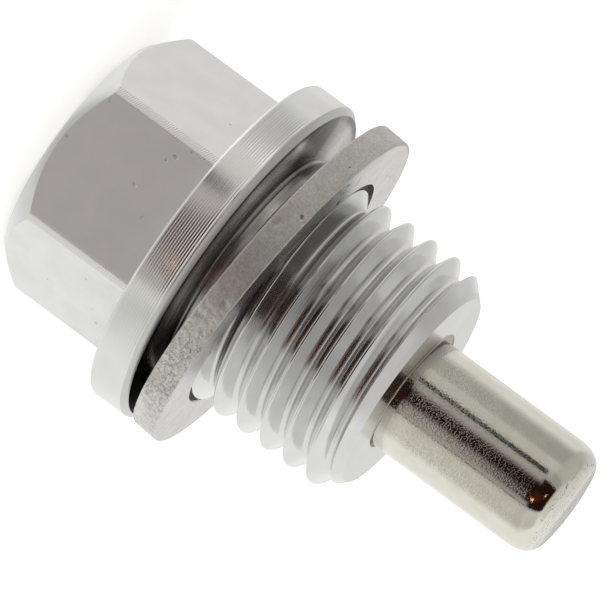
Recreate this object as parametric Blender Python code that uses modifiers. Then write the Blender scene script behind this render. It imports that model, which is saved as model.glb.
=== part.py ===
# Magnetic oil drain plug, M14 x 1.5: a turned plug with a hexagon head, a flange and a
# thread, a loose sealing washer and a magnet in a socket in the plug's tip.
# Metres, +Z up. The plug stands on the outer face of its head: the origin is the centre of
# that face, and +Z runs along the plug's axis to the free end of the magnet.

import math

import bmesh
import bpy
from mathutils import Matrix, Quaternion, Vector

MM = 0.001

# Hexagon head. The bar's corners are turned down a little, and the outer face is chamfered.
HEAD_ACROSS_FLATS = 13.9 * MM
HEAD_HEIGHT = 8.1 * MM
HEAD_CORNER_TRIM = 0.15 * MM
HEAD_CHAMFER = 1.27 * MM

# Flange. Its rim lies a little inside the washer's.
FLANGE_INSET = 0.2 * MM
FLANGE_THICKNESS = 2.34 * MM
FLANGE_BACK_CHAMFER = 0.2 * MM
FLANGE_FRONT_CHAMFER = 0.32 * MM

# Threaded shank, right-handed. The lead is the height of the first crest over the flange
# on the +X side. The neck and the chamfer are measured in from the crests.
THREAD_DIAMETER = 13.75 * MM
THREAD_PITCH = 1.5 * MM
THREAD_FLANK_ANGLE = math.radians(30.0)
THREAD_LEAD = 0.6 * MM
SHANK_LENGTH = 11.0 * MM
NECK_DEPTH = 0.27 * MM
NECK_LENGTH = 0.45 * MM
TIP_CHAMFER = 1.12 * MM

# Magnet and its blind socket in the tip
MAGNET_DIAMETER = 6.5 * MM
MAGNET_PROTRUSION = 9.95 * MM
MAGNET_END_RADIUS = 1.1 * MM
MAGNET_FOOT_CHAMFER = 0.3 * MM
SOCKET_DEPTH = 5.0 * MM
SOCKET_CLEARANCE = 0.3 * MM
SOCKET_FLOOR_GAP = 0.2 * MM

# Sealing washer. It is loose on the thread, and leans on the flange's edge at the side that
# the lean's direction gives. Its bore clears the crests by the bore gap while it leans, and
# it is pushed across the thread until only the side gap is left on the low side.
WASHER_WIDTH = 2.79 * MM
WASHER_THICKNESS = 1.5 * MM
WASHER_EDGE_CHAMFER = 0.08 * MM
WASHER_BORE_GAP = 0.24 * MM
WASHER_SIDE_GAP = 0.06 * MM
WASHER_SEAT_GAP = 0.15 * MM
WASHER_LEAN = math.radians(5.2)
WASHER_LEAN_DIRECTION = math.radians(36.8)

# Facets round a full turn
TURNED_STEPS = 72
THREAD_STEPS = 60
MAGNET_STEPS = 48
FILLET_STEPS = 5

# Heights and radii that follow from the sizes above. The thread is cut as the standard
# has it: its sharp triangle is cut off at the crest to an eighth of the pitch, and its depth
# is 17/24 of the triangle's height.
FLANGE_FACE = HEAD_HEIGHT + FLANGE_THICKNESS
FLANGE_MIDDLE = HEAD_HEIGHT + FLANGE_THICKNESS / 2
TIP_FACE = FLANGE_FACE + SHANK_LENGTH
BAR_RADIUS = HEAD_ACROSS_FLATS / 2 / math.cos(math.pi / 6)
CORNER_RADIUS = BAR_RADIUS - HEAD_CORNER_TRIM
CREST_RADIUS = THREAD_DIAMETER / 2
CREST_WIDTH = THREAD_PITCH / 8
THREAD_DEPTH = 17 / 24 * THREAD_PITCH / 2 / math.tan(THREAD_FLANK_ANGLE)
ROOT_RADIUS = CREST_RADIUS - THREAD_DEPTH
NECK_RADIUS = CREST_RADIUS - NECK_DEPTH
SOCKET_RADIUS = MAGNET_DIAMETER / 2 + SOCKET_CLEARANCE
SOCKET_FLOOR = TIP_FACE - SOCKET_DEPTH

# The leaning washer's bore is narrowed by the slant of its own thickness
WASHER_SLANT = WASHER_THICKNESS / 2 * math.sin(WASHER_LEAN)
WASHER_BORE_RADIUS = (CREST_RADIUS + WASHER_BORE_GAP + WASHER_SLANT) / math.cos(WASHER_LEAN)
WASHER_RADIUS = WASHER_BORE_RADIUS + WASHER_WIDTH
WASHER_SHIFT = WASHER_BORE_GAP - WASHER_SIDE_GAP
FLANGE_RADIUS = WASHER_RADIUS - FLANGE_INSET

# How far a cutter or a hidden overlap reaches past the surface it works on
MARGIN = 1.0 * MM
MERGE = 0.001 * MM

# A cone of six sides is made with corners on Y; the head has two of its flats there
CORNERS_TO_X = Quaternion((0.0, 0.0, 1.0), math.radians(30.0))


def clear_scene():
    for item in list(bpy.data.objects):
        bpy.data.objects.remove(item, do_unlink=True)


def make_collection(name):
    collection = bpy.data.collections.new(name)
    bpy.context.scene.collection.children.link(collection)
    return collection


def make_material(name, color, roughness, metallic=1.0):
    material = bpy.data.materials.new(name)
    material.use_nodes = True
    shader = material.node_tree.nodes["Principled BSDF"]
    shader.inputs["Base Color"].default_value = (*color, 1.0)
    shader.inputs["Roughness"].default_value = roughness
    shader.inputs["Metallic"].default_value = metallic
    return material


def add_object(name, mesh, collection):
    item = bpy.data.objects.new(name, mesh)
    collection.objects.link(item)
    return item


def as_cutter(item):
    item.hide_render = True
    item.display_type = "WIRE"
    return item


def turned(name, profile, steps, collection):
    """A profile of (radius, height) points turned round Z. It runs down the outer side:
    from the top of the axis to its foot, or all the way round a ring's section."""
    mesh = bpy.data.meshes.new(name)
    points = [(radius, 0.0, height) for radius, height in profile]
    edges = [(i, i + 1) for i in range(len(points) - 1)]
    mesh.from_pydata(points, edges, [])
    item = add_object(name, mesh, collection)
    screw = item.modifiers.new("turn", "SCREW")
    screw.axis = "Z"
    screw.angle = 2 * math.pi
    screw.steps = steps
    screw.render_steps = steps
    screw.use_merge_vertices = True
    screw.merge_threshold = MERGE
    return item


def fillet(radius, height, size):
    """Points round a quarter circle, from the flat end face to the side of a cylinder."""
    points = []
    for i in range(FILLET_STEPS + 1):
        angle = math.pi / 2 * (1 - i / FILLET_STEPS)
        across = radius - size + size * math.cos(angle)
        points.append((across, height - size + size * math.sin(angle)))
    return points


def combine(item, other, operation):
    boolean = item.modifiers.new(operation.lower() + " " + other.name, "BOOLEAN")
    boolean.operation = operation
    boolean.object = other
    boolean.solver = "EXACT"
    return boolean


def settle(item):
    """Turns the modifiers into the object's own mesh and shades its round faces smooth."""
    depsgraph = bpy.context.evaluated_depsgraph_get()
    mesh = bpy.data.meshes.new_from_object(item.evaluated_get(depsgraph))
    item.modifiers.clear()
    item.data = mesh
    mesh.shade_smooth()
    mesh.set_sharp_from_angle(angle=math.radians(28.0))


def thread_profile():
    """One pitch of the thread, from the foot of one crest to the foot of the next."""
    foot = CREST_WIDTH / 2 + THREAD_DEPTH * math.tan(THREAD_FLANK_ANGLE)
    return [
        (ROOT_RADIUS, -foot),
        (CREST_RADIUS, -CREST_WIDTH / 2),
        (CREST_RADIUS, CREST_WIDTH / 2),
        (ROOT_RADIUS, foot),
        (ROOT_RADIUS, THREAD_PITCH - foot),
    ]


def make_screw(collection):
    """The endless screw that the shank is cut from: one pitch of the thread swept along
    its helix, with both ends drawn to points on the axis beyond the shank."""
    first_crest = FLANGE_FACE + THREAD_LEAD - 2 * THREAD_PITCH
    turns = math.ceil((TIP_FACE + MARGIN - first_crest) / THREAD_PITCH) + 1
    bm = bmesh.new()
    verts = [bm.verts.new((r, 0.0, first_crest + z)) for r, z in thread_profile()]
    edges = [bm.edges.new(pair) for pair in zip(verts[:-1], verts[1:])]
    bmesh.ops.spin(
        bm, geom=verts + edges, cent=(0.0, 0.0, 0.0), axis=(0.0, 0.0, 1.0),
        dvec=(0.0, 0.0, THREAD_PITCH / THREAD_STEPS), angle=2 * math.pi * turns,
        steps=THREAD_STEPS * turns, use_duplicate=False)
    bmesh.ops.remove_doubles(bm, verts=bm.verts, dist=MERGE)
    middle = first_crest + turns * THREAD_PITCH / 2
    rim = [edge for edge in bm.edges if edge.is_boundary]
    lower = [edge for edge in rim if edge.verts[0].co.z < middle]
    upper = [edge for edge in rim if edge.verts[0].co.z > middle]
    ends = (first_crest - THREAD_PITCH, first_crest + (turns + 1) * THREAD_PITCH)
    for loop, height in zip((lower, upper), ends):
        drawn = bmesh.ops.extrude_edge_only(bm, edges=loop)["geom"]
        tips = [part for part in drawn if isinstance(part, bmesh.types.BMVert)]
        bmesh.ops.pointmerge(bm, verts=tips, merge_co=(0.0, 0.0, height))
    bmesh.ops.recalc_face_normals(bm, faces=bm.faces)
    mesh = bpy.data.meshes.new("screw")
    bm.to_mesh(mesh)
    bm.free()
    return as_cutter(add_object("screw", mesh, collection))


def make_shank(cutters):
    """The screw cut to the shank's turned outline: neck, shoulder, thread and tip chamfer."""
    outside = CREST_RADIUS + MARGIN
    neck_top = FLANGE_FACE + NECK_LENGTH
    outline = turned("shank_outline", [
        (0.0, TIP_FACE),
        (CREST_RADIUS - TIP_CHAMFER, TIP_FACE),
        (outside, TIP_FACE - TIP_CHAMFER - MARGIN),
        (outside, neck_top + NECK_DEPTH + MARGIN),
        (NECK_RADIUS, neck_top),
        (NECK_RADIUS, FLANGE_MIDDLE),
        (0.0, FLANGE_MIDDLE),
    ], THREAD_STEPS, cutters)
    as_cutter(outline)
    shank = make_screw(cutters)
    combine(shank, outline, "INTERSECT")
    return shank


def make_head(cutters):
    """A length of hexagon bar, turned down over its corners and chamfered at its face."""
    outline = turned("head_outline", [
        (0.0, FLANGE_MIDDLE),
        (CORNER_RADIUS, FLANGE_MIDDLE),
        (CORNER_RADIUS, HEAD_CHAMFER),
        (CORNER_RADIUS - HEAD_CHAMFER, 0.0),
        (0.0, 0.0),
    ], TURNED_STEPS, cutters)
    as_cutter(outline)
    bar = bmesh.new()
    bmesh.ops.create_cone(
        bar, cap_ends=True, segments=6, radius1=BAR_RADIUS, radius2=BAR_RADIUS,
        depth=FLANGE_MIDDLE + 2 * MARGIN,
        matrix=Matrix.LocRotScale((0.0, 0.0, FLANGE_MIDDLE / 2), CORNERS_TO_X, None))
    mesh = bpy.data.meshes.new("hexagon_bar")
    bar.to_mesh(mesh)
    bar.free()
    head = as_cutter(add_object("hexagon_bar", mesh, cutters))
    combine(head, outline, "INTERSECT")
    return head


def make_plug(parts, cutters):
    plug = turned("plug_body", [
        (0.0, FLANGE_FACE),
        (FLANGE_RADIUS - FLANGE_FRONT_CHAMFER, FLANGE_FACE),
        (FLANGE_RADIUS, FLANGE_FACE - FLANGE_FRONT_CHAMFER),
        (FLANGE_RADIUS, HEAD_HEIGHT + FLANGE_BACK_CHAMFER),
        (FLANGE_RADIUS - FLANGE_BACK_CHAMFER, HEAD_HEIGHT),
        (0.0, HEAD_HEIGHT),
    ], TURNED_STEPS, parts)
    socket = turned("socket", [
        (0.0, TIP_FACE + MARGIN),
        (SOCKET_RADIUS, TIP_FACE + MARGIN),
        (SOCKET_RADIUS, SOCKET_FLOOR),
        (0.0, SOCKET_FLOOR),
    ], MAGNET_STEPS, cutters)
    combine(plug, make_head(cutters), "UNION")
    combine(plug, make_shank(cutters), "UNION")
    combine(plug, as_cutter(socket), "DIFFERENCE")
    settle(plug)
    plug.data.materials.clear()
    plug.data.materials.append(make_material("bright_aluminium", (0.80, 0.80, 0.79), 0.18))
    return plug


def make_magnet(parts):
    """The magnet stands a little off centre in its socket, nearer to the +X side."""
    radius = MAGNET_DIAMETER / 2
    foot = SOCKET_FLOOR + SOCKET_FLOOR_GAP
    end = TIP_FACE + MAGNET_PROTRUSION
    profile = [(0.0, end)]
    profile += fillet(radius, end, MAGNET_END_RADIUS)
    profile += [
        (radius, foot + MAGNET_FOOT_CHAMFER),
        (radius - MAGNET_FOOT_CHAMFER, foot),
        (0.0, foot),
    ]
    magnet = turned("magnet", profile, MAGNET_STEPS, parts)
    magnet.location = (SOCKET_CLEARANCE / 2, 0.0, 0.0)
    settle(magnet)
    magnet.data.materials.append(make_material("nickel_plate", (0.72, 0.68, 0.60), 0.14))
    return magnet


def washer_height():
    """Height of the washer's middle where its lower face leans on the flange's edge."""
    edge = FLANGE_RADIUS - FLANGE_FRONT_CHAMFER + WASHER_SHIFT
    rise = edge * math.tan(WASHER_LEAN)
    return FLANGE_FACE + rise + (WASHER_THICKNESS / 2 + WASHER_SEAT_GAP) / math.cos(WASHER_LEAN)


def make_washer(parts):
    half = WASHER_THICKNESS / 2
    edge = WASHER_EDGE_CHAMFER
    washer = turned("sealing_washer", [
        (WASHER_BORE_RADIUS + edge, half),
        (WASHER_RADIUS - edge, half),
        (WASHER_RADIUS, half - edge),
        (WASHER_RADIUS, edge - half),
        (WASHER_RADIUS - edge, -half),
        (WASHER_BORE_RADIUS + edge, -half),
        (WASHER_BORE_RADIUS, edge - half),
        (WASHER_BORE_RADIUS, half - edge),
        (WASHER_BORE_RADIUS + edge, half),
    ], TURNED_STEPS, parts)
    low_side = Vector((math.cos(WASHER_LEAN_DIRECTION), math.sin(WASHER_LEAN_DIRECTION), 0.0))
    hinge = Vector((0.0, 0.0, 1.0)).cross(low_side)
    washer.rotation_mode = "QUATERNION"
    washer.rotation_quaternion = Quaternion(hinge, WASHER_LEAN)
    washer.location = -WASHER_SHIFT * low_side
    washer.location.z = washer_height()
    settle(washer)
    washer.data.materials.append(make_material("satin_aluminium", (0.70, 0.68, 0.66), 0.42))
    return washer


def main():
    clear_scene()
    parts = make_collection("oil_drain_plug")
    cutters = make_collection("cutters")
    make_plug(parts, cutters)
    make_washer(parts)
    make_magnet(parts)


main()
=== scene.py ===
import math

import bmesh
import bpy
from mathutils import Matrix, Quaternion, Vector, noise


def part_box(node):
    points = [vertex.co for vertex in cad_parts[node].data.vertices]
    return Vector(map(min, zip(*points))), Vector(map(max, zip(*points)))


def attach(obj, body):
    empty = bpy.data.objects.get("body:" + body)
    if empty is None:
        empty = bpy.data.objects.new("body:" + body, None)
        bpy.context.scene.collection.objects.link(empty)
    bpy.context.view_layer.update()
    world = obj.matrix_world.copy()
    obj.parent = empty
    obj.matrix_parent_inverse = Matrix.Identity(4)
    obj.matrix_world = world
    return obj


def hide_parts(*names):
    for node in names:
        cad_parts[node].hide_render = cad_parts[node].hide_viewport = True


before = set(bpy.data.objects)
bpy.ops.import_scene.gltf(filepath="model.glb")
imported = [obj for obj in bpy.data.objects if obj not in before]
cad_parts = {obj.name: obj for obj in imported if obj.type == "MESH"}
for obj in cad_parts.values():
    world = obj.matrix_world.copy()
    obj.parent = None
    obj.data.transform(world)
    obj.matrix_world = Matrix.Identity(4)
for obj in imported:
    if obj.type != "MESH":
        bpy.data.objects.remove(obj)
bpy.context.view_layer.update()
mm = 0.001
zAxis = Vector((0, 0, 1))
mergeDistance = 0.0002 * mm
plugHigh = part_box("plug_body")[1]
magnetLow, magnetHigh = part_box("magnet")
print("frame loaded, nodes:", sorted(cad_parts))


# Helpers for numbers and meshes

def angles(*degrees):
    # degrees to radians
    return [math.radians(angle) for angle in degrees]


def lengths(*sizes):
    # millimetres to metres
    return [size * mm for size in sizes]


def spinRound(points, steps):
    # (radius, height) points turned once round Z, with the poles and the seam closed
    bm = bmesh.new()
    verts = [bm.verts.new((radius, 0, height)) for radius, height in points]
    edges = [bm.edges.new(pair) for pair in zip(verts, verts[1:])]
    bmesh.ops.spin(bm, geom=verts + edges, cent=(0, 0, 0), axis=zAxis, angle=2 * math.pi,
                   steps=steps, use_merge=True)
    bmesh.ops.remove_doubles(bm, verts=bm.verts, dist=mergeDistance)
    bmesh.ops.recalc_face_normals(bm, faces=bm.faces)
    return bm


def arc(centre, size, start, end, count):
    # points on a circle's arc, between two angles in degrees
    points = []
    for i in range(count + 1):
        angle = math.radians(start + (end - start) * i / count)
        points.append((centre[0] + size * math.cos(angle), centre[1] + size * math.sin(angle)))
    return points


def toObject(bm, name):
    mesh = bpy.data.meshes.new(name)
    bm.to_mesh(mesh)
    bm.free()
    item = bpy.data.objects.new(name, mesh)
    bpy.context.scene.collection.objects.link(item)
    return item


def boolean(item, other, operation):
    modifier = item.modifiers.new(operation, "BOOLEAN")
    modifier.operation = operation
    modifier.object = other
    modifier.solver = "EXACT"


def applyModifiers(item):
    # the evaluated mesh becomes the object's own, and the cutters go
    others = [m.object for m in item.modifiers if m.type == "BOOLEAN"]
    graph = bpy.context.evaluated_depsgraph_get()
    mesh = bpy.data.meshes.new_from_object(item.evaluated_get(graph))
    item.modifiers.clear()
    item.data = mesh
    for other in others:
        bpy.data.objects.remove(other)


def shadeSmooth(item, angle):
    item.data.shade_smooth()
    item.data.set_sharp_from_angle(angle=math.radians(angle))
    modifier = item.modifiers.new("weightedNormals", "WEIGHTED_NORMAL")
    modifier.keep_sharp = True


# Shader helpers: sums on a Signal add Math nodes, and Finish.add makes any other node

class Signal:
    def __init__(self, finish, socket):
        self.finish = finish
        self.socket = socket

    def math(self, operation, *values):
        return self.finish.add("ShaderNodeMath", {"operation": operation}, dict(enumerate(values)))

    def __add__(self, other):
        return self.math("ADD", self, other)

    def __radd__(self, other):
        return self.math("ADD", other, self)

    def __sub__(self, other):
        return self.math("SUBTRACT", self, other)

    def __rsub__(self, other):
        return self.math("SUBTRACT", other, self)

    def __mul__(self, other):
        return self.math("MULTIPLY", self, other)

    def __rmul__(self, other):
        return self.math("MULTIPLY", other, self)

    def __truediv__(self, other):
        return self.math("DIVIDE", self, other)

    def __pow__(self, other):
        return self.math("POWER", self, other)

    def __abs__(self):
        return self.math("ABSOLUTE", self)

    def most(self, other):
        # the larger of the two
        return self.math("MAXIMUM", self, other)

    def beside(self, output):
        # another output of the same node
        return Signal(self.finish, self.socket.node.outputs[output])


class Finish:
    # the node tree of a material or the world
    def __init__(self, owner):
        owner.use_nodes = True
        self.tree = owner.node_tree

    def add(self, kind, settings=None, inputs=None, output=0):
        node = self.tree.nodes.new(kind)
        for key, value in (settings or {}).items():
            setattr(node, key, value)
        self.feed(node, inputs or {})
        return Signal(self, node.outputs[output])

    def feed(self, node, inputs):
        for key, value in inputs.items():
            if isinstance(value, Signal):
                self.tree.links.new(value.socket, node.inputs[key])
            else:
                node.inputs[key].default_value = value

    def coordinates(self, kind="Object"):
        return self.add("ShaderNodeTexCoord", output=kind)

    def split(self, vector):
        x = self.add("ShaderNodeSeparateXYZ", None, {0: vector})
        return x, x.beside("Y"), x.beside("Z")

    def join(self, x, y, z):
        return self.add("ShaderNodeCombineXYZ", None, {0: x, 1: y, 2: z})

    def ease(self, value, low, high, first=0, last=1):
        return self.add("ShaderNodeMapRange", {"interpolation_type": "SMOOTHSTEP"},
                        {0: value, 1: low, 2: high, 3: first, 4: last})

    def between(self, value, start, full, fade, end):
        # 1 from full to fade, and 0 before start and after end
        return self.ease(value, start, full) * self.ease(value, fade, end, 1, 0)

    def noise(self, vector, scale, detail=2, roughness=0.5):
        return self.add("ShaderNodeTexNoise", None, {"Vector": vector, "Scale": scale, "Detail": detail,
                                                     "Roughness": roughness})

    def ragged(self, where, scale, size):
        # the coordinates pushed about by a coloured noise
        push = self.add("ShaderNodeTexNoise", None, {"Vector": where, "Scale": scale}, "Color")
        centred = self.add("ShaderNodeVectorMath", {"operation": "SUBTRACT"},
                           {0: push, 1: (0.5, 0.5, 0.5)})
        sized = self.add("ShaderNodeVectorMath", {"operation": "SCALE"}, {0: centred, "Scale": size})
        return self.add("ShaderNodeVectorMath", {"operation": "ADD"}, {0: where, 1: sized})

    def scatter(self, where, scale, size, share, core=0.6, finer=6, push=0.25):
        # small ragged spots in a share of the cells
        place = self.ragged(where, scale * finer, push / scale)
        away = self.add("ShaderNodeTexVoronoi", {"feature": "F1"},
                        {"Vector": place, "Scale": scale, "Randomness": 1.0}, "Distance")
        chosen = self.ease(self.split(away.beside("Color"))[0], 1 - share, 1.02 - share)
        return self.ease(away, size * core, size, 1, 0) * chosen

    def marks(self, where, places, core=0.4, scale=7000, push=0.22 * mm):
        # small ragged dents at chosen places, each given as x, y, z and size in mm
        ragged = self.ragged(where, scale, push)
        total = 0.0
        for *place, size in places:
            away = self.add("ShaderNodeVectorMath", {"operation": "DISTANCE"},
                            {0: ragged, 1: Vector(place) * mm}, "Value")
            total = total + self.ease(away, size * core * mm, size * mm, 1, 0)
        return total

    def mixColor(self, factor, first, second):
        return self.add("ShaderNodeMix", {"data_type": "RGBA"}, {0: factor, 6: first, 7: second}, 2)

    def bump(self, height, distance):
        return self.add("ShaderNodeBump", None, {"Height": height, "Distance": distance, "Strength": 1.0})


def newMaterial(name):
    material = bpy.data.materials.new(name)
    finish = Finish(material)
    shader = finish.tree.nodes["Principled BSDF"]
    return material, finish, shader


def grey(level):
    return (level, level, level, 1)


def radiusOf(x, y):
    return (x * x + y * y) ** 0.5


def turnOf(x, y):
    # the angle round Z, in radians
    return x.math("ARCTAN2", y, x)


# The plug: hexagon head, flange, neck, thread and tip in one turned piece

plug = {
    "acrossFlats": 13.9 * mm,
    "headHeight": 8.1 * mm,
    "cornerRadius": 7.875 * mm,
    "headChamfer": 1.27 * mm,
    "flatShare": 28 / 30,
    "flangeRadius": 9.8 * mm,
    "flangeThickness": 2.34 * mm,
    "backChamfer": 0.12 * mm,
    "frontChamfer": 0.32 * mm,
    "edgeRound": 0.05 * mm,
    "edgeSteps": 3,
    "edgeAngle": 22,
    "smoothAngle": 32,
    "rimMargin": 0.09 * mm,
    "rimGrooves": 12,
    "grooveSteps": 6,
    "grooveDepth": 0.0105 * mm,
    "grooveLow": 0.2,
    "grooveRise": 0.7,
    "topRise": 7,
    "topStart": 0.75,
    "grooveShares": [(-180, 0.1), (-150, 0.15), (-142, 0.3), (-137, 0.08), (-132, 0.1), (-126, 0.6),
                     (-122, 0.45), (-118, 0.3), (-114, 0.9), (-110, 0.95), (-106, 0.6), (-102, 0.5),
                     (-98, 0.9), (-94, 1.15), (-84, 1.15), (-76, 0.7), (-68, 0.35), (-60, 0.15),
                     (-40, 0.05), (30, 0.6), (90, 1), (180, 0.1)],
    "threadRadius": 6.875 * mm,
    "pitch": 1.5 * mm,
    "threadDepth": 0.92 * mm,
    "flankAngle": 30,
    "crestWidth": 0.13 * mm,
    "crestRound": 0.05 * mm,
    "crestShare": 0.35,
    "rootRound": 0.11 * mm,
    "roundSteps": 3,
    "threadLead": 0.6 * mm,
    "neckGroove": 0.22 * mm,
    "neckDepth": 0.25 * mm,
    "neckShift": 0.9,
    "neckTurn": (270, 115),
    "neckSteps": 14,
    "neckFoot": 0.01 * mm,
    "neckFlare": 0.02 * mm,
    "collarSunk": 0.015 * mm,
    "collarStart": 10.88 * mm,
    "collarEnd": 11.4 * mm,
    "shankSunk": 0.17 * mm,
    "hiddenInset": 0.9 * mm,
    "hiddenHeight": 0.5 * mm,
    "tipChamfer": 1.12 * mm,
    "socketRadius": 3.55 * mm,
    "socketDepth": 5.0 * mm,
    "stepsRound": 360,
    "threadSteps": 144,
    "zoneMargin": 0.02 * mm,
    "sideFacing": 0.3,
    "ringFacing": 0.5,
    "flankFacing": 0.35,
    "tipFacing": 0.999,
    "shadeTop": 20.0 * mm,
    "turnedColors": [(0.70, 0.70, 0.69, 1), (0.74, 0.74, 0.73, 1)],
    # where and how bright the painted highlight on the flange's rim lies
    "rimSheenTurn": angles(-150, -120, -74, -64),
    "rimSheenRadius": lengths(9.5, 9.7),
    "rimSheenColor": (0.95, 0.945, 0.93, 1),
    "turnedBump": 0.0026 * mm,
    "threadColors": [(0.665, 0.665, 0.66, 1), (0.715, 0.715, 0.71, 1)],
    "dullRoot": lengths(0.01, 0.14),
    # where the painted shade on the thread's flanks lies
    "firstHeight": lengths(13.9, 15.0),
    "firstSide": lengths(-6.5, -5.7, -2.6, -0.8),
    "laterHeight": lengths(14.2, 15.0),
    "laterFade": lengths(12.5, 20.0),
    "laterSide": lengths(-5.6, -4.2, -0.6, 1.8),
    "flankShadeColor": (0.18, 0.185, 0.17, 1),
    "threadWander": 0.06 * mm,
    "threadBump": 0.0055 * mm,
    # the painted shade on the flange's thread side and the neck, deeper towards +X
    "shadeDeepens": lengths(2.8, 4.9),
    "deepShadeColors": [(0.46, 0.455, 0.43, 1), (0.13, 0.12, 0.105, 1)],
    "paleShadeColors": [(0.72, 0.71, 0.69, 1), (0.30, 0.28, 0.255, 1)],
    # a painted highlight lies in this sector
    "sectorTurn": angles(-146, -141, -58, -44),
    "sectorMiddle": math.radians(-97),
    "sectorDip": angles(6, 16),
    "sectorRadius": lengths(7.1, 7.5),
    "paintedSheenColor": (0.90, 0.89, 0.87, 1),
    # painted shadow at the left end, the outer ring and the neck's root
    "backTurn": angles(-175, -168, -150, -144),
    "outerRadius": lengths(8.9, 9.3),
    "outerTurn": angles(-172, -158),
    "rootRadius": lengths(6.75, 7.2),
    "rootHeights": lengths(10.83, 10.9),
    "paintedShadowColor": (0.05, 0.05, 0.045, 1),
    "edgeBand": lengths(-0.05, 0.02),
    "edgeColor": (0.56, 0.56, 0.55, 1),
    "neckBump": 0.004 * mm,
    "landBand": lengths(-0.013, -0.004),
    "chatterPitch": 0.135 * mm,
    "chatterSlant": 2.6 * mm,
    "chatterWander": 0.16 * mm,
    "flatEdges": lengths(3.75, 4.1),
    # painted light and shade per flat: the left lightest, the front darkest
    "leftFlatLight": (0.995, 0.985, 0.98, 1),
    "frontFlatShade": (0.90, 0.888, 0.896, 1),
    "rightFlatShade": (0.935, 0.94, 0.92, 1),
    "landColor": (0.85, 0.84, 0.83, 1),
    "markColor": (0.45, 0.43, 0.42, 1),
    "flatsBump": 0.003 * mm,
}
flangeFace = plug["headHeight"] + plug["flangeThickness"]
rimLow = plug["headHeight"] + plug["backChamfer"]
rimHigh = flangeFace - plug["frontChamfer"]
blankTop = plug["collarEnd"] + plug["hiddenHeight"]
tipFace = plugHigh.z
margin = 1.0 * mm


flatMarks = [
    (-5.72, -3.99, 6.47, 0.11), (-2.97, -6.95, 5.83, 0.17), (-2.55, -6.95, 5.5, 0.10),
    (-0.56, -6.95, 4.89, 0.14), (0.51, -6.95, 6.2, 0.12), (-3.28, -6.95, 1.33, 0.11),
    (-0.55, -6.95, 0.55, 0.13), (-3.6, -6.95, 6.4, 0.12), (6.26, -3.05, 3.15, 0.09),
    (4.88, -5.45, 5.34, 0.10), (6.68, -2.34, 6.39, 0.14), (6.13, -3.28, 6.0, 0.09),
]


def cutHexagon(bm):
    # pulls the head's turned side in to six flats, with the chamfer's edge following
    apothem = plug["acrossFlats"] / 2
    corner = plug["cornerRadius"]
    flatHalf = math.acos(apothem / corner)
    sector = math.pi / 3
    flatShare = plug["flatShare"]
    near = 0.001 * mm
    for vert in bm.verts:
        radius = math.hypot(vert.co.x, vert.co.y)
        if abs(radius - corner) > near:
            continue
        angle = math.atan2(vert.co.y, vert.co.x)
        middle = (math.floor(angle / sector) + 0.5) * sector
        off = (angle - middle) / (sector / 2)
        if abs(off) <= flatShare:
            turned = off / flatShare * flatHalf
        else:
            past = (abs(off) - flatShare) / (1 - flatShare)
            turned = math.copysign(flatHalf + past * (sector / 2 - flatHalf), off)
        newRadius = min(corner, apothem / math.cos(turned))
        if vert.co.z < plug["headChamfer"] + near:
            vert.co.z -= corner - newRadius
        vert.co.x = newRadius * math.cos(middle + turned)
        vert.co.y = newRadius * math.sin(middle + turned)


def bevelSharp(bm, width, segments, angle):
    edges = [e for e in bm.edges if len(e.link_faces) == 2
             and e.calc_face_angle() > math.radians(angle)]
    bmesh.ops.bevel(bm, geom=edges, offset=width, offset_type="OFFSET", affect="EDGES",
                    segments=segments, profile=0.5, material=-1, clamp_overlap=True)


def rimPoints():
    # the flange's rim, rippled by the turning tool
    count = plug["rimGrooves"] * plug["grooveSteps"]
    start = rimLow + plug["rimMargin"]
    rippled = rimHigh - rimLow - 2 * plug["rimMargin"]
    points = [(plug["flangeRadius"], rimLow)]
    for i in range(count + 1):
        turn = 2 * math.pi * i / plug["grooveSteps"]
        sunk = plug["grooveDepth"] * (0.5 - 0.5 * math.cos(turn))
        points.append((plug["flangeRadius"] - sunk, start + rippled * i / count))
    points.append((plug["flangeRadius"], rimHigh))
    return points


def fadeGrooves(bm):
    # the grooves come and go round the rim, and are deeper towards the thread
    rim = plug["flangeRadius"]
    deepest = 1.2 * plug["grooveDepth"]
    shares = plug["grooveShares"]
    for vert in bm.verts:
        sunk = rim - math.hypot(vert.co.x, vert.co.y)
        if not rimLow < vert.co.z < rimHigh or sunk > deepest:
            continue
        angle = math.degrees(math.atan2(vert.co.y, vert.co.x))
        share = 1
        for (start, first), (end, last) in zip(shares, shares[1:]):
            if start <= angle <= end:
                share = first + (last - first) * (angle - start) / (end - start)
        rise = (vert.co.z - rimLow) / (rimHigh - rimLow)
        top = max(0, rise - plug["topStart"])
        share *= plug["grooveLow"] + plug["grooveRise"] * rise + plug["topRise"] * top
        scale = (rim - sunk * share) / (rim - sunk)
        vert.co.x *= scale
        vert.co.y *= scale


def neckPoints():
    # a round-bottomed groove behind the thread, the plain collar after it, and an end inside the shank
    collar = plug["threadRadius"] - plug["collarSunk"]
    size = plug["neckGroove"]
    centre = (collar + size - plug["neckDepth"], plug["collarStart"] - size * plug["neckShift"])
    groove = arc(centre, size, *plug["neckTurn"], plug["neckSteps"])
    groove = [point for point in groove if point[1] > flangeFace + plug["neckFoot"]]
    return [
        (groove[0][0] + plug["neckFlare"], flangeFace),
        *groove,
        (collar, plug["collarStart"]),
        (collar, plug["collarEnd"]),
        (collar - plug["hiddenInset"], blankTop),
    ]


def buildBlank():
    corner = plug["cornerRadius"]
    flange = plug["flangeRadius"]
    bm = spinRound([
        (0, 0),
        (corner - plug["headChamfer"], 0),
        (corner, plug["headChamfer"]),
        (corner, plug["headHeight"]),
        (flange - plug["backChamfer"], plug["headHeight"]),
        *rimPoints(),
        (flange - plug["frontChamfer"], flangeFace),
        *neckPoints(),
        (0, blankTop),
    ], plug["stepsRound"])
    cutHexagon(bm)
    fadeGrooves(bm)
    bevelSharp(bm, plug["edgeRound"], plug["edgeSteps"], plug["edgeAngle"])
    return toObject(bm, "plugBody")


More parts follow.
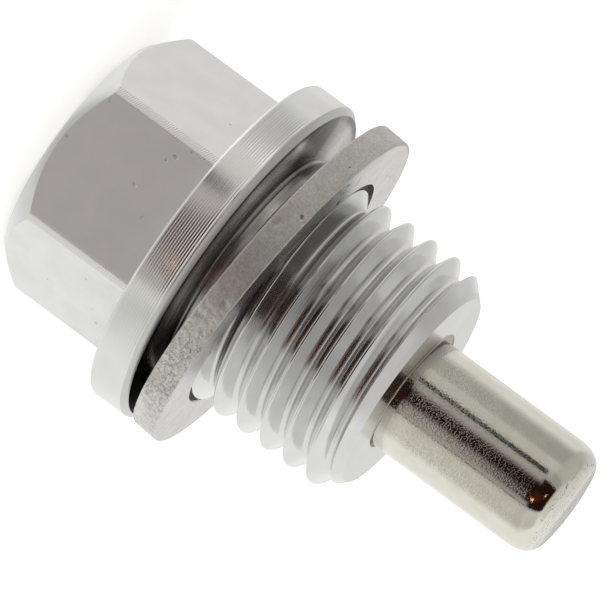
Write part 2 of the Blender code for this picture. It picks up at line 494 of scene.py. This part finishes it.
def curve(start, middle, end, count):
    # points on a quadratic curve
    points = []
    for i in range(count + 1):
        t = i / count
        points.append(tuple((1 - t) ** 2 * a + 2 * t * (1 - t) * b + t ** 2 * c
                            for a, b, c in zip(start, middle, end)))
    return points


def threadProfile():
    # one pitch, from the middle of a root to the middle of the next, with rounded crests and roots
    crest, depth = plug["threadRadius"], plug["threadDepth"]
    half = plug["crestWidth"] / 2
    slope = math.tan(math.radians(plug["flankAngle"]))
    foot = half + depth * slope
    root = crest - depth
    crestRound, rootRound = plug["crestRound"], plug["rootRound"]
    points = [(root, -plug["pitch"] / 2)]
    points += curve((root, -foot - rootRound), (root, -foot),
                    (root + rootRound, -foot + rootRound * slope), plug["roundSteps"])
    points += curve((crest - crestRound, -half - crestRound * slope), (crest, -half),
                    (crest, -half * plug["crestShare"]), plug["roundSteps"])
    return points + [(radius, -z) for radius, z in reversed(points)]


def buildScrew():
    # one pitch swept along its helix, both ends drawn to points on the axis
    pitch = plug["pitch"]
    steps = plug["threadSteps"]
    firstCrest = flangeFace + plug["threadLead"] - 2 * pitch
    turns = math.ceil((tipFace + margin - firstCrest) / pitch) + 1
    bm = bmesh.new()
    verts = [bm.verts.new((radius, 0, firstCrest + z)) for radius, z in threadProfile()]
    edges = [bm.edges.new(pair) for pair in zip(verts, verts[1:])]
    bmesh.ops.spin(bm, geom=verts + edges, cent=(0, 0, 0), axis=zAxis, angle=2 * math.pi * turns,
                   dvec=(0, 0, pitch / steps), steps=steps * turns)
    bmesh.ops.remove_doubles(bm, verts=bm.verts, dist=mergeDistance)
    half = firstCrest + turns * pitch / 2
    rim = [e for e in bm.edges if e.is_boundary]
    lower = [e for e in rim if e.verts[0].co.z < half]
    upper = [e for e in rim if e.verts[0].co.z > half]
    for loop, height in ((lower, firstCrest - pitch), (upper, firstCrest + (turns + 1) * pitch)):
        drawn = bmesh.ops.extrude_edge_only(bm, edges=loop)["geom"]
        tips = [v for v in drawn if isinstance(v, bmesh.types.BMVert)]
        bmesh.ops.pointmerge(bm, verts=tips, merge_co=(0, 0, height))
    bmesh.ops.recalc_face_normals(bm, faces=bm.faces)
    return toObject(bm, "screw")


def buildShank():
    crest = plug["threadRadius"]
    outside = crest + margin
    foot = plug["collarEnd"] - plug["shankSunk"]
    outline = spinRound([
        (0, foot),
        (outside, foot),
        (outside, tipFace - plug["tipChamfer"] - margin),
        (crest - plug["tipChamfer"], tipFace),
        (0, tipFace),
    ], plug["threadSteps"])
    shank = buildScrew()
    boolean(shank, toObject(outline, "shankOutline"), "INTERSECT")
    applyModifiers(shank)
    return shank


def plugZone(face):
    # the material of a face: 0 for the hexagon's side, 1 for turned faces, 2 for the thread, 3 for the
    # neck and the flange's thread side, with painted shade, and 4 for the thread's tip-side flanks up
    # to shadeTop, with painted shade
    radius = math.hypot(face.center.x, face.center.y)
    height, facing = face.center.z, face.normal.z
    near = plug["zoneMargin"]
    if height < plug["headHeight"] - near and abs(facing) < plug["sideFacing"]:
        return 0
    if rimHigh < height < plug["collarEnd"] + near / 2:
        if facing > plug["ringFacing"] or height > flangeFace:
            return 3
    if height > flangeFace + near and radius > plug["socketRadius"] + near:
        if height < plug["shadeTop"] and facing > plug["flankFacing"]:
            return 4
        if facing < plug["tipFacing"] or radius > plug["threadRadius"] - plug["tipChamfer"]:
            return 2
    return 1


def turnedFinish():
    # bright turned faces: rings round the axis in height and gloss, a few specks, and a painted
    # highlight on a stretch of the flange's rim on the camera's side
    material, finish, shader = newMaterial("turnedAluminium")
    where = finish.coordinates()
    x, y, z = finish.split(where)
    radius = radiusOf(x, y)
    rings = finish.noise(finish.join(radius, 0.0, z), 9000, 3, 0.6)
    drift = finish.noise(where, 500, 2)
    specks = finish.noise(where, 12000, 2)
    plain = finish.mixColor(finish.ease(drift, 0.3, 0.7), *plug["turnedColors"])
    # painted highlight: the rim is lighter on the stretch towards the camera
    rimSheen = finish.between(turnOf(x, y), *plug["rimSheenTurn"]) * finish.ease(radius, *plug["rimSheenRadius"])
    finish.feed(shader, {
        "Base Color": finish.mixColor(rimSheen, plain, plug["rimSheenColor"]),
        "Metallic": 1.0,
        "Roughness": 0.13 + rings * 0.10 + drift * 0.05,
        "Normal": finish.bump(rings * 0.9 + specks * 0.25, plug["turnedBump"]),
    })
    return material


def threadFinish(name, shaded):
    # bright thread: streaks along the helix, which change with the radius, and duller roots; where
    # shaded, part of the first turn and of the later ones is darker with painted shade
    material, finish, shader = newMaterial(name)
    where = finish.coordinates()
    x, y, z = finish.split(where)
    radius = radiusOf(x, y)
    root = plug["threadRadius"] - plug["threadDepth"]
    slow = finish.noise(where, 450, 2)
    streaks = finish.noise(finish.join(radius, slow * plug["threadWander"], 0.0), 11000, 3, 0.65)
    specks = finish.noise(where, 14000, 2)
    dull = finish.ease(radius, *[root + rise for rise in plug["dullRoot"]], 0.14, 0)
    color = finish.mixColor(finish.ease(slow, 0.3, 0.7), *plug["threadColors"])
    if shaded:
        # painted shade on the flanks next to the washer, fading towards the tip and to the sides
        first = finish.ease(z, *plug["firstHeight"], 0.72, 0) * finish.between(x, *plug["firstSide"])
        later = finish.ease(z, *plug["laterHeight"]) * finish.ease(z, *plug["laterFade"], 0.72, 0)
        later = later * finish.between(x, *plug["laterSide"])
        color = finish.mixColor(first + later, color, plug["flankShadeColor"])
    finish.feed(shader, {
        "Base Color": color,
        "Metallic": 1.0,
        "Roughness": 0.05 + streaks * 0.08 + slow * 0.04 + dull,
        "Normal": finish.bump(streaks * 0.9 + specks * 0.05, plug["threadBump"]),
    })
    return material


def neckFinish():
    # the flange's thread side and the neck: rings under painted shade that deepens towards +X, a painted
    # highlight in a sector towards the camera, and painted shadow at the root, outer ring and left end
    material, finish, shader = newMaterial("neckAluminium")
    where = finish.coordinates()
    x, y, z = finish.split(where)
    radius = radiusOf(x, y)
    turn = turnOf(x, y)
    rings = finish.noise(finish.join(radius, 0.0, z), 8000, 3, 0.6)
    cloud = finish.noise(where, 380, 2)
    # painted shade, darker towards +X
    dark = finish.ease(x, *plug["shadeDeepens"])
    deepShade = finish.mixColor(dark, *plug["deepShadeColors"])
    clear = finish.mixColor(dark, *plug["paleShadeColors"])
    shadeAndSheen = finish.mixColor(finish.ease(cloud + rings * 0.25, 0.5, 0.85), deepShade, clear)
    # a painted highlight on a sector towards the camera
    sector = finish.between(turn, *plug["sectorTurn"]) * finish.ease(radius, *plug["sectorRadius"])
    dip = finish.ease(abs(turn - plug["sectorMiddle"]), *plug["sectorDip"], 0.3, 1)
    shadeAndSheen = finish.mixColor(sector * dip * 0.95, shadeAndSheen, plug["paintedSheenColor"])
    # painted shadow at the left end, the outer ring and the neck's root
    back = finish.between(turn, *plug["backTurn"]) * 0.7
    outer = finish.ease(radius, *plug["outerRadius"], 0, 0.9)
    outer = outer * finish.ease(turn, *plug["outerTurn"], 0.6, 1)
    root = finish.ease(radius, *plug["rootRadius"], 0.45, 0)
    root = root * finish.ease(z, *plug["rootHeights"], 1, 0.2)
    shadeAndSheen = finish.mixColor(outer.most(root).most(back), shadeAndSheen, plug["paintedShadowColor"])
    chamfer = plug["flangeRadius"] - plug["frontChamfer"]
    edge = finish.ease(radius, *[chamfer + off for off in plug["edgeBand"]])
    finish.feed(shader, {
        "Base Color": finish.mixColor(edge, shadeAndSheen, plug["edgeColor"]),
        "Metallic": 1.0,
        "Roughness": 0.20 + rings * 0.12,
        "Normal": finish.bump(rings, plug["neckBump"]),
    })
    return material


def flatsFinish():
    # satin hexagon flats with nicks, each flat lighter or darker as painted light and shade, and the
    # tool's chatter lines on the turned corners
    material, finish, shader = newMaterial("satinFlats")
    where = finish.coordinates()
    x, y, z = finish.split(where)
    land = finish.ease(radiusOf(x, y), *[plug["cornerRadius"] + off for off in plug["landBand"]])
    slanted = z + turnOf(x, y) * plug["chatterSlant"]
    slanted = slanted + finish.noise(where, 2500, 3) * plug["chatterWander"]
    lines = z.math("SINE", slanted * (2 * math.pi / plug["chatterPitch"]))
    grain = finish.noise(where, 22000, 3, 0.6)
    cloud = finish.noise(where, 700, 3)
    nicks = finish.scatter(where, 1300, 0.085, 0.55)
    marks = finish.marks(where, flatMarks)
    height = grain * (1 - land) * 0.9 + lines * land * 0.9 - nicks * 3 - marks * 12
    low, high = plug["flatEdges"]
    # painted light and shade: the left flat lighter, the front flat darkest, the right one between
    side = finish.mixColor(finish.ease(x, -high, -low), plug["leftFlatLight"], plug["frontFlatShade"])
    side = finish.mixColor(finish.ease(x, low, high), side, plug["rightFlatShade"])
    satin = finish.mixColor(finish.ease(cloud, 0.35, 0.65, 0.0, 0.025), side, grey(0))
    satin = finish.mixColor(land, satin, plug["landColor"])
    finish.feed(shader, {
        "Base Color": finish.mixColor(marks * 0.35, satin, plug["markColor"]),
        "Metallic": 1.0,
        "Roughness": 0.60 + cloud * 0.08 - land * 0.36,
        "Normal": finish.bump(height, plug["flatsBump"]),
    })
    return material


def buildPlug():
    socket = spinRound([
        (0, tipFace - plug["socketDepth"]),
        (plug["socketRadius"], tipFace - plug["socketDepth"]),
        (plug["socketRadius"], tipFace + margin),
        (0, tipFace + margin),
    ], plug["threadSteps"])
    body = buildBlank()
    boolean(body, buildShank(), "UNION")
    boolean(body, toObject(socket, "socketCutter"), "DIFFERENCE")
    applyModifiers(body)
    for finish in (flatsFinish(), turnedFinish(), threadFinish("threadAluminium", False), neckFinish(),
                   threadFinish("threadShade", True)):
        body.data.materials.append(finish)
    for face in body.data.polygons:
        face.material_index = plugZone(face)
    shadeSmooth(body, plug["smoothAngle"])
    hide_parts("plug_body")
    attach(body, "root")
    print("plug:", len(body.data.polygons), "faces")


# The magnet: a plated cylinder with a rounded end

magnet = {
    "radius": 3.25 * mm,
    "endRadius": 1.1 * mm,
    "endTurn": 64,
    "endSteps": 18,
    "softStart": 0.45 * mm,
    "footRadius": 0.3 * mm,
    "footSteps": 4,
    "steps": 256,
    "smoothAngle": 35,
    "nickelColors": [(0.69, 0.67, 0.585, 1), (0.735, 0.72, 0.645, 1)],
    "peelHeights": lengths(23, 30),
    "wornBand": lengths(-0.32, -0.05),
    "pitColor": (0.20, 0.18, 0.14, 1),
    "footBand": lengths(-0.1, 0.95),
    "footSide": lengths(0.5, 2.2),
    "footShadeColor": (0.14, 0.12, 0.10, 1),
    "nickelBump": 0.0019 * mm,
    "beadDepth": 1.0 * mm,
    "beadOverlap": 0.01 * mm,
    "beadTop": [(0.0, -0.01), (0.25, -0.03), (0.5, -0.03), (0.75, -0.01), (0.9, 0.02), (1.0, 0.05)],
    "beadDip": 0.14 * mm,
    "dipPower": 8,
    "beadColors": [(0.42, 0.39, 0.34, 1), (0.56, 0.54, 0.48, 1)],
    "beadBump": 0.01 * mm,
}


def nickelFinish():
    # warm nickel with an orange peel, small pits at the worn end and painted shade at the foot
    material, finish, shader = newMaterial("nickelPlate")
    where = finish.coordinates()
    x, _, z = finish.split(where)
    peel = finish.ease(finish.noise(where, 9000, 2, 0.55), 0.46, 0.60)
    peel = peel * finish.ease(z, *magnet["peelHeights"], 1, 0.45)
    waves = finish.noise(where, 1300, 2)
    worn = finish.ease(z, *[magnetHigh.z + off for off in magnet["wornBand"]])
    pits = finish.ease(finish.noise(where, 6000, 3, 0.6), 0.60, 0.65) * worn
    plain = finish.mixColor(finish.ease(waves, 0.3, 0.7), *magnet["nickelColors"])
    # painted shade at the magnet's foot, deepest towards -X
    foot = finish.ease(z, *[tipFace + off for off in magnet["footBand"]], 0.6, 0)
    foot = foot * finish.ease(x, *magnet["footSide"], 1, 0.2)
    plain = finish.mixColor(foot, plain, magnet["footShadeColor"])
    finish.feed(shader, {
        "Base Color": finish.mixColor(pits * 0.9, plain, magnet["pitColor"]),
        "Metallic": 1.0,
        "Roughness": 0.03 + waves * 0.025 + worn * 0.12,
        "Normal": finish.bump(peel - pits * 5.0, magnet["nickelBump"]),
    })
    return material


def buildMagnet():
    radius = magnet["radius"]
    end = magnet["endRadius"]
    foot = magnet["footRadius"]
    points = [(0, magnetLow.z)]
    points += arc((radius - foot, magnetLow.z + foot), foot, -90, 0, magnet["footSteps"])
    turned = math.radians(magnet["endTurn"])
    centre = magnetHigh.z - end * math.sin(turned)
    last = (radius - end * (1 - math.cos(turned)), magnetHigh.z)
    corner = (radius, magnetHigh.z - (radius - last[0]) / math.tan(turned))
    points += curve((radius, centre - magnet["softStart"]), corner, last, magnet["endSteps"])
    points += [(0, magnetHigh.z)]
    bm = spinRound(points, magnet["steps"])
    bmesh.ops.translate(bm, verts=bm.verts, vec=((magnetLow.x + magnetHigh.x) / 2, 0, 0))
    item = toObject(bm, "magnetPin")
    item.data.materials.append(nickelFinish())
    shadeSmooth(item, magnet["smoothAngle"])
    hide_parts("magnet")
    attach(item, "root")
    print("magnet:", len(item.data.polygons), "faces")


def beadFinish():
    material, finish, shader = newMaterial("beadResin")
    # the bead's own colours, darkened as painted shade at the magnet's foot
    cloud = finish.noise(finish.coordinates(), 6000, 2)
    finish.feed(shader, {
        "Base Color": finish.mixColor(cloud, *magnet["beadColors"]),
        "Metallic": 0.9,
        "Roughness": 0.25 + cloud * 0.2,
        "Normal": finish.bump(cloud, magnet["beadBump"]),
    })
    return material


def buildBead():
    # the adhesive that closes the magnet's gap, hollowed, and sunk towards +X and -X
    low = tipFace - magnet["beadDepth"]
    inner = magnet["radius"] - magnet["beadOverlap"]
    outer = plug["socketRadius"] + magnet["beadOverlap"]
    middle = (magnetLow.x + magnetHigh.x) / 2
    top = [(outer + (inner - outer) * share, tipFace + rise * mm) for share, rise in magnet["beadTop"]]
    bm = spinRound([(inner, low), (outer, low), *top, (inner, low)], magnet["steps"])
    for vert in bm.verts:
        near = (outer - math.hypot(vert.co.x, vert.co.y)) / (outer - inner)
        vert.co.x += middle * near
        if vert.co.z > tipFace - magnet["beadDepth"] / 2:
            turn = math.atan2(vert.co.y, vert.co.x)
            vert.co.z -= magnet["beadDip"] * abs(math.cos(turn)) ** magnet["dipPower"]
    item = toObject(bm, "magnetBead")
    item.data.materials.append(beadFinish())
    shadeSmooth(item, magnet["smoothAngle"])
    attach(item, "root")
    print("bead:", len(item.data.polygons), "faces")


# The sealing washer, loose and leaning

washer = {
    "bore": 7.213 * mm,
    "radius": 10.0 * mm,
    "thickness": 1.5 * mm,
    "edgeRound": 0.08 * mm,
    "edgeSteps": 3,
    "lean": 5.2,
    "leanDirection": 36.8,
    "shift": 0.18 * mm,
    "steps": 640,
    "cell": 0.09 * mm,
    "smoothAngle": 60,
    "rimMargin": 0.05 * mm,
    "faceGrain": 0.004 * mm,
    "rimGrain": 0.020 * mm,
    "grainScales": (5.0, 11.0),
    "fineShare": 0.6,
    "cutScale": 3.2,
    "cutHeight": 0.45,
    "cutShare": 0.9,
    "grainBase": 0.8,
    "grainSwing": 0.5,
    "tornMiddle": math.radians(-20),
    "tornStart": 0.62,
    "tornRun": 0.2,
    "tornRange": (0.5, 2.4),
    "dents": 0.05 * mm,
    "dentScale": 1.7,
    "dentShift": Vector((9, 4, 2)),
    "dentStart": 0.52,
    "dentGain": 3,
    "rimBand": lengths(-0.16, -0.06),
    "tornSide": lengths(0.5, 5.5),
    "plainColors": [(0.62, 0.605, 0.585, 1), (0.73, 0.715, 0.69, 1)],
    "stainColor": (0.64, 0.585, 0.53, 1),
    "fleckColor": (0.84, 0.82, 0.79, 1),
    "frontSide": lengths(0.3, 2.6, 5.2, 7.2),
    "washerSheenColor": (0.93, 0.91, 0.88, 1),
    "speckColor": (0.40, 0.385, 0.365, 1),
    "shadowSide": (-0.53, -0.85),
    "shadowBand": lengths(6.8, 9.0),
    "shadowColor": (0.10, 0.095, 0.08, 1),
    "pitColor": (0.16, 0.145, 0.125, 1),
    "faceBump": 0.010 * mm,
    "shadeDeepens": lengths(3.0, 5.0),
    "deepShadeColors": [(0.60, 0.59, 0.57, 1), (0.12, 0.115, 0.10, 1)],
    "paleShadeColors": [(0.84, 0.83, 0.80, 1), (0.34, 0.33, 0.31, 1)],
    "backBump": 0.004 * mm,
    "backFacing": -0.8,
}


washerMarks = [
    (-4.45, -9.06, 13.42, 0.16), (-7.75, -6.5, 13.38, 0.09), (-8.01, 2.95, 13.38, 0.10),
    (-7.2, -7.0, 13.0, 0.07), (-2.2, -9.8, 12.4, 0.08),
]


def washerPlace():
    # the same leaning place as the solid's: the middle of its box gives the height
    low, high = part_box("sealing_washer")
    towards = math.radians(washer["leanDirection"])
    side = Vector((math.cos(towards), math.sin(towards), 0))
    turn = Quaternion(zAxis.cross(side), math.radians(washer["lean"]))
    place = -washer["shift"] * side
    place.z = (low.z + high.z) / 2
    return Matrix.LocRotScale(place, turn, None)


def subdivideRun(points, cell):
    # points along a closed outline, no further apart than one cell
    fine = []
    for start, end in zip(points, points[1:] + points[:1]):
        count = max(1, math.ceil(math.dist(start, end) / cell))
        for i in range(count):
            share = i / count
            fine.append(tuple(a + (b - a) * share for a, b in zip(start, end)))
    return fine + fine[:1]


def roughenWasher(bm):
    # tumbled faces, a grainy sheared rim, and a torn stretch on the +X side; all cuts go inwards
    coarse, fine = washer["grainScales"]
    least, torn = washer["tornRange"]
    bm.normal_update()
    moves = []
    for vert in bm.verts:
        place = vert.co / mm
        radius = math.hypot(place.x, place.y) * mm
        onRim = radius > washer["radius"] - washer["rimMargin"]
        onBore = radius < washer["bore"] + washer["rimMargin"]
        grain = noise.noise(place * coarse) + washer["fineShare"] * noise.noise(place * fine)
        depth = washer["faceGrain"]
        if onRim or onBore:
            across = Vector((place.x, place.y, place.z * washer["cutHeight"]))
            grain += washer["cutShare"] * noise.noise(across * washer["cutScale"])
            turn = math.atan2(place.y, place.x) - washer["tornMiddle"]
            towards = (0.5 + 0.5 * math.cos(turn) - washer["tornStart"]) / washer["tornRun"]
            depth = washer["rimGrain"] * (least + torn * min(1, max(0, towards)))
        dent = noise.noise(place * washer["dentScale"] + washer["dentShift"]) - washer["dentStart"]
        dent = max(0, dent) * washer["dentGain"]
        cut = depth * (washer["grainBase"] + washer["grainSwing"] * grain)
        moves.append(-cut - washer["dents"] * dent)
    for vert, move in zip(bm.verts, moves):
        vert.co += vert.normal * min(0, move)


def washerFinish():
    # plain satin aluminium: a speckled grain, pits, stains, a rim torn towards +X with a painted
    # highlight on a stretch in front, and painted shade on the face towards the camera
    material, finish, shader = newMaterial("satinWasher")
    where = finish.coordinates()
    x, y, _ = finish.split(where)
    rim = finish.ease(radiusOf(x, y), *[washer["radius"] + off for off in washer["rimBand"]])
    grain = finish.noise(where, 7500, 4, 0.75)
    cloud = finish.noise(where, 900, 3)
    torn = finish.ease(x, *washer["tornSide"]) * rim
    torn = torn * finish.ease(finish.noise(where, 600, 2), 0.35, 0.6, 0.3, 1)
    creases = finish.ease(abs(finish.noise(where, 2500, 3, 0.6) - 0.5), 0.004, 0.028, 1, 0) * torn
    pits = finish.ease(finish.noise(where, 4600, 4, 0.7) + torn * 0.03, 0.66, 0.71)
    marks = finish.marks(where, washerMarks)
    color = finish.mixColor(finish.ease(cloud, 0.3, 0.7), *washer["plainColors"])
    stain = finish.ease(finish.noise(where, 420, 2), 0.45, 0.75) * rim
    color = finish.mixColor(stain * 0.7, color, washer["stainColor"])
    flecks = finish.ease(finish.noise(where, 5200, 3, 0.6), 0.52, 0.60) * torn
    color = finish.mixColor(flecks, color, washer["fleckColor"])
    # a painted highlight on the rim's stretch in front
    front = finish.between(x, *washer["frontSide"]) * 0.45 * rim
    color = finish.mixColor(front, color, washer["washerSheenColor"])
    specks = finish.ease(grain, 0.33, 0.62, 0.35 + rim * 0.25, 0)
    color = finish.mixColor(specks, color, washer["speckColor"])
    alongX, alongY = washer["shadowSide"]
    shadow = finish.ease(x * alongX + y * alongY, *washer["shadowBand"], 0, 0.3) * (1 - rim)
    color = finish.mixColor(shadow, color, washer["shadowColor"])
    dark = (pits * 0.6).most(marks * 0.8).most(creases * 0.7)
    height = grain * (0.28 + rim) - pits * 1.3 - marks * 2 - creases * 2.5
    finish.feed(shader, {
        "Base Color": finish.mixColor(dark, color, washer["pitColor"]),
        "Metallic": 1.0,
        "Roughness": 0.21 + cloud * 0.09 + rim * 0.30,
        "Normal": finish.bump(height, washer["faceBump"]),
    })
    return material


def washerBackFinish():
    # the face towards the flange, duller, with painted shade that is darker towards +X
    material, finish, shader = newMaterial("shadedWasherBack")
    where = finish.coordinates()
    cloud = finish.noise(where, 600, 3)
    grain = finish.noise(where, 9000, 3, 0.7)
    # painted shade, darker towards +X
    dark = finish.ease(finish.split(where)[0], *washer["shadeDeepens"])
    deepShade = finish.mixColor(dark, *washer["deepShadeColors"])
    clear = finish.mixColor(dark, *washer["paleShadeColors"])
    finish.feed(shader, {
        "Base Color": finish.mixColor(cloud, deepShade, clear),
        "Metallic": 1.0,
        "Roughness": 0.38 + cloud * 0.12,
        "Normal": finish.bump(grain, washer["backBump"]),
    })
    return material


def buildWasher():
    bore, outer = washer["bore"], washer["radius"]
    half, edge = washer["thickness"] / 2, washer["edgeRound"]
    corners = [(bore + edge, half - edge, 90, 180), (bore + edge, edge - half, 180, 270),
               (outer - edge, edge - half, 270, 360), (outer - edge, half - edge, 0, 90)]
    points = []
    for x, y, start, end in corners:
        points += arc((x, y), edge, start, end, washer["edgeSteps"])
    bm = spinRound(subdivideRun(points, washer["cell"]), washer["steps"])
    roughenWasher(bm)
    bmesh.ops.transform(bm, matrix=washerPlace(), verts=bm.verts)
    item = toObject(bm, "sealingWasher")
    item.data.materials.append(washerFinish())
    item.data.materials.append(washerBackFinish())
    axis = washerPlace().to_quaternion() @ zAxis
    for face in item.data.polygons:
        face.material_index = 1 if face.normal.dot(axis) < washer["backFacing"] else 0
    shadeSmooth(item, washer["smoothAngle"])
    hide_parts("sealing_washer")
    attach(item, "root")
    print("washer:", len(item.data.polygons), "faces")


# Camera, at the photograph's viewing angle

view = {
    "aim": Vector((-0.335, 0.0, 13.905)) * mm,
    "azimuth": 4.32,
    "elevation": 11.81,
    "roll": 126.4,
    "distance": 409 * mm,
    "lens": 477.6,
    "sensor": 36,
}


def buildCamera():
    azimuth, elevation = math.radians(view["azimuth"]), math.radians(view["elevation"])
    ahead = Vector((math.sin(azimuth) * math.cos(elevation),
                    math.cos(azimuth) * math.cos(elevation), -math.sin(elevation)))
    data = bpy.data.cameras.new("camera")
    data.sensor_width = view["sensor"]
    data.lens = view["lens"]
    item = bpy.data.objects.new("camera", data)
    turn = ahead.to_track_quat("-Z", "Y") @ Quaternion(zAxis, math.radians(view["roll"]))
    item.matrix_world = Matrix.LocRotScale(view["aim"] - ahead * view["distance"], turn, None)
    bpy.context.scene.collection.objects.link(item)
    bpy.context.scene.camera = item
    print("camera placed")


# The studio: a pale floor in a light tent, with a shaded side and a dark figure by the camera

studio = {
    "white": (1.0, 1.0, 0.99, 1),
    "shadedSide": (0.43, 0.425, 0.41, 1),
    "upperSide": (0.54, 0.53, 0.51, 1),
    "upperBack": (0.74, 0.74, 0.725, 1),
    "backFade": (0.84, 0.83, 0.81, 1),
    "frontFade": (0.78, 0.78, 0.745, 1),
    "frontShade": (0.62, 0.615, 0.58, 1),
    "leftFront": (0.60, 0.59, 0.565, 1),
    "panel": (0.43, 0.402, 0.392, 1),
    "upperFront": (0.65, 0.65, 0.62, 1),
    "figureSide": (0.40, 0.39, 0.37, 1),
    "underneath": (0.60, 0.61, 0.60, 1),
    "underFront": (0.64, 0.635, 0.62, 1),
    "underRight": (0.82, 0.83, 0.81, 1),
    "zenith": (0.72, 0.71, 0.69, 1),
    "seam": (0.05, 0.055, 0.045, 1),
    "figure": (0.018, 0.008, 0.006, 1),
    "figureEdge": (0.055, 0.012, 0.007, 1),
    "warmLight": (2.6, 1.1, 0.46, 1),
    "warmSpots": [(-70, 2.5, 2.7, 4), (-89, 29, 2.2, 3.6)],
    "warmCore": 0.45,
    "floorColor": (0.92, 0.92, 0.92, 1),
    "floorGlow": 0.56,
    "floorSize": 4.0,
}

belt = ((-34, -24), (2, 14))
level = ((-24, -19), (-6, -1))
overhead = (47, 57)

# The tent's zones, each laid over the ones before it: a colour, how much of it, and its patches.
# A patch has its middle, half width and soft edge round Z, the heights where it comes in and the
# heights where it goes out, all in degrees, with None where it has no limit.
tentZones = [
    ("frontFade", 1, ((-50, 10, 40), None, None)),
    ("frontShade", 1, ((-33, 20, 24), (-11.15, -10.7), (2, 14))),
    ("upperBack", 1, ((118, 24, 22), (-4, 8), None)),
    ("backFade", 1, ((133, 6, 16), *belt)),
    ("backFade", 1, ((98, 12, 12), *belt)),
    ("upperFront", 1, ((-32, 18, 14), (6, 14), (40, 52))),
    ("upperSide", 1, ((212, 60, 30), (-2, 10), None)),
    ("shadedSide", 1, ((187, 10, 38), (-20, -12), (2, 14))),
    ("leftFront", 1, ((-137, 13, 6), *belt)),
    ("underRight", 1, ((55, 25, 35), None, (-54, -38))),
    ("underneath", 1, (None, None, (-78, -62))),
    ("underFront", 1, ((-91, 50, 40), (-68, -56), (-40, -28))),
    ("zenith", 1, (None, (56, 72), None)),
    ("panel", 1, ((-91, 39, 2), *level), ((-91, 28, 22), *belt)),
    ("seam", 1, ((-126, 3, 3), *level)),
    ("seam", 0.5, ((-52.5, 0.5, 2.5), *level)),
    ("figureSide", 1, ((-120, 10, 10), (2, 12), overhead)),
    ("figure", 1, ((-83.5, 28.5, 5), (-6, 3), overhead), ((-91, 7, 15), (-12.8, -12.2), overhead),
     ((-78, 13, 9), (-10.2, -9.7), overhead)),
    ("figureEdge", 1, ((-79, 5, 7), (-6, 3), (14, 28))),
]


def buildFloor():
    bm = bmesh.new()
    bmesh.ops.create_grid(bm, x_segments=1, y_segments=1, size=studio["floorSize"] / 2)
    floor = toObject(bm, "floor")
    floor.visible_glossy = False
    material, finish, shader = newMaterial("floorPaint")
    seen = finish.add("ShaderNodeLightPath", output="Is Camera Ray")
    glow = studio["floorGlow"]
    finish.feed(shader, {"Base Color": studio["floorColor"], "Roughness": 0.9,
                         "Specular IOR Level": 0.0, "Emission Strength": 1.0,
                         "Emission Color": finish.mixColor(seen, grey(0), grey(glow))})
    floor.data.materials.append(material)
    print("floor placed")


def buildTent():
    # brightness by direction, from the angle round Z and the height over the horizon
    world = bpy.data.worlds.new("tent")
    finish = Finish(world)
    x, y, z = finish.split(finish.coordinates("Generated"))
    turn = turnOf(x, y) * (180 / math.pi)

    def away(centre):
        # degrees round Z from a centre, the short way
        offset = (turn - centre) * (math.pi / 180)
        return offset.math("ARCCOSINE", offset.math("COSINE", offset)) * (180 / math.pi)

    def rise(low, high):
        # 0 below one angle over the horizon, 1 above the other
        return finish.ease(z, math.sin(math.radians(low)), math.sin(math.radians(high)))

    def patch(around, comesIn, goesOut):
        limits = []
        if around:
            centre, half, soft = around
            limits.append(finish.ease(away(centre), half, half + soft, 1, 0))
        if comesIn:
            limits.append(rise(*comesIn))
        if goesOut:
            limits.append(1 - rise(*goesOut))
        return math.prod(limits)

    def spot(centre, height, half, halfHigh):
        # an oval, its edge softened outside its core
        across = away(centre) / half
        tall = math.radians(halfHigh) * math.cos(math.radians(height))
        over = (z - math.sin(math.radians(height))) / tall
        return finish.ease(radiusOf(across, over), studio["warmCore"], 1, 1, 0)

    color = studio["white"]
    for name, share, first, *others in tentZones:
        inside = patch(*first)
        for other in others:
            inside = inside.most(patch(*other))
        color = finish.mixColor(inside * share, color, studio[name])
    for place in studio["warmSpots"]:
        color = finish.mixColor(spot(*place), color, studio["warmLight"])
    seen = finish.add("ShaderNodeLightPath", output="Is Camera Ray")
    background = finish.tree.nodes["Background"]
    finish.feed(background, {"Color": finish.mixColor(seen, color, grey(1)), "Strength": 1.0})
    bpy.context.scene.world = world
    print("tent lit, zones:", len(tentZones))


buildCamera()
buildPlug()
buildMagnet()
buildBead()
buildWasher()
buildFloor()
buildTent()
bpy.context.scene.view_settings.view_transform = "Standard"
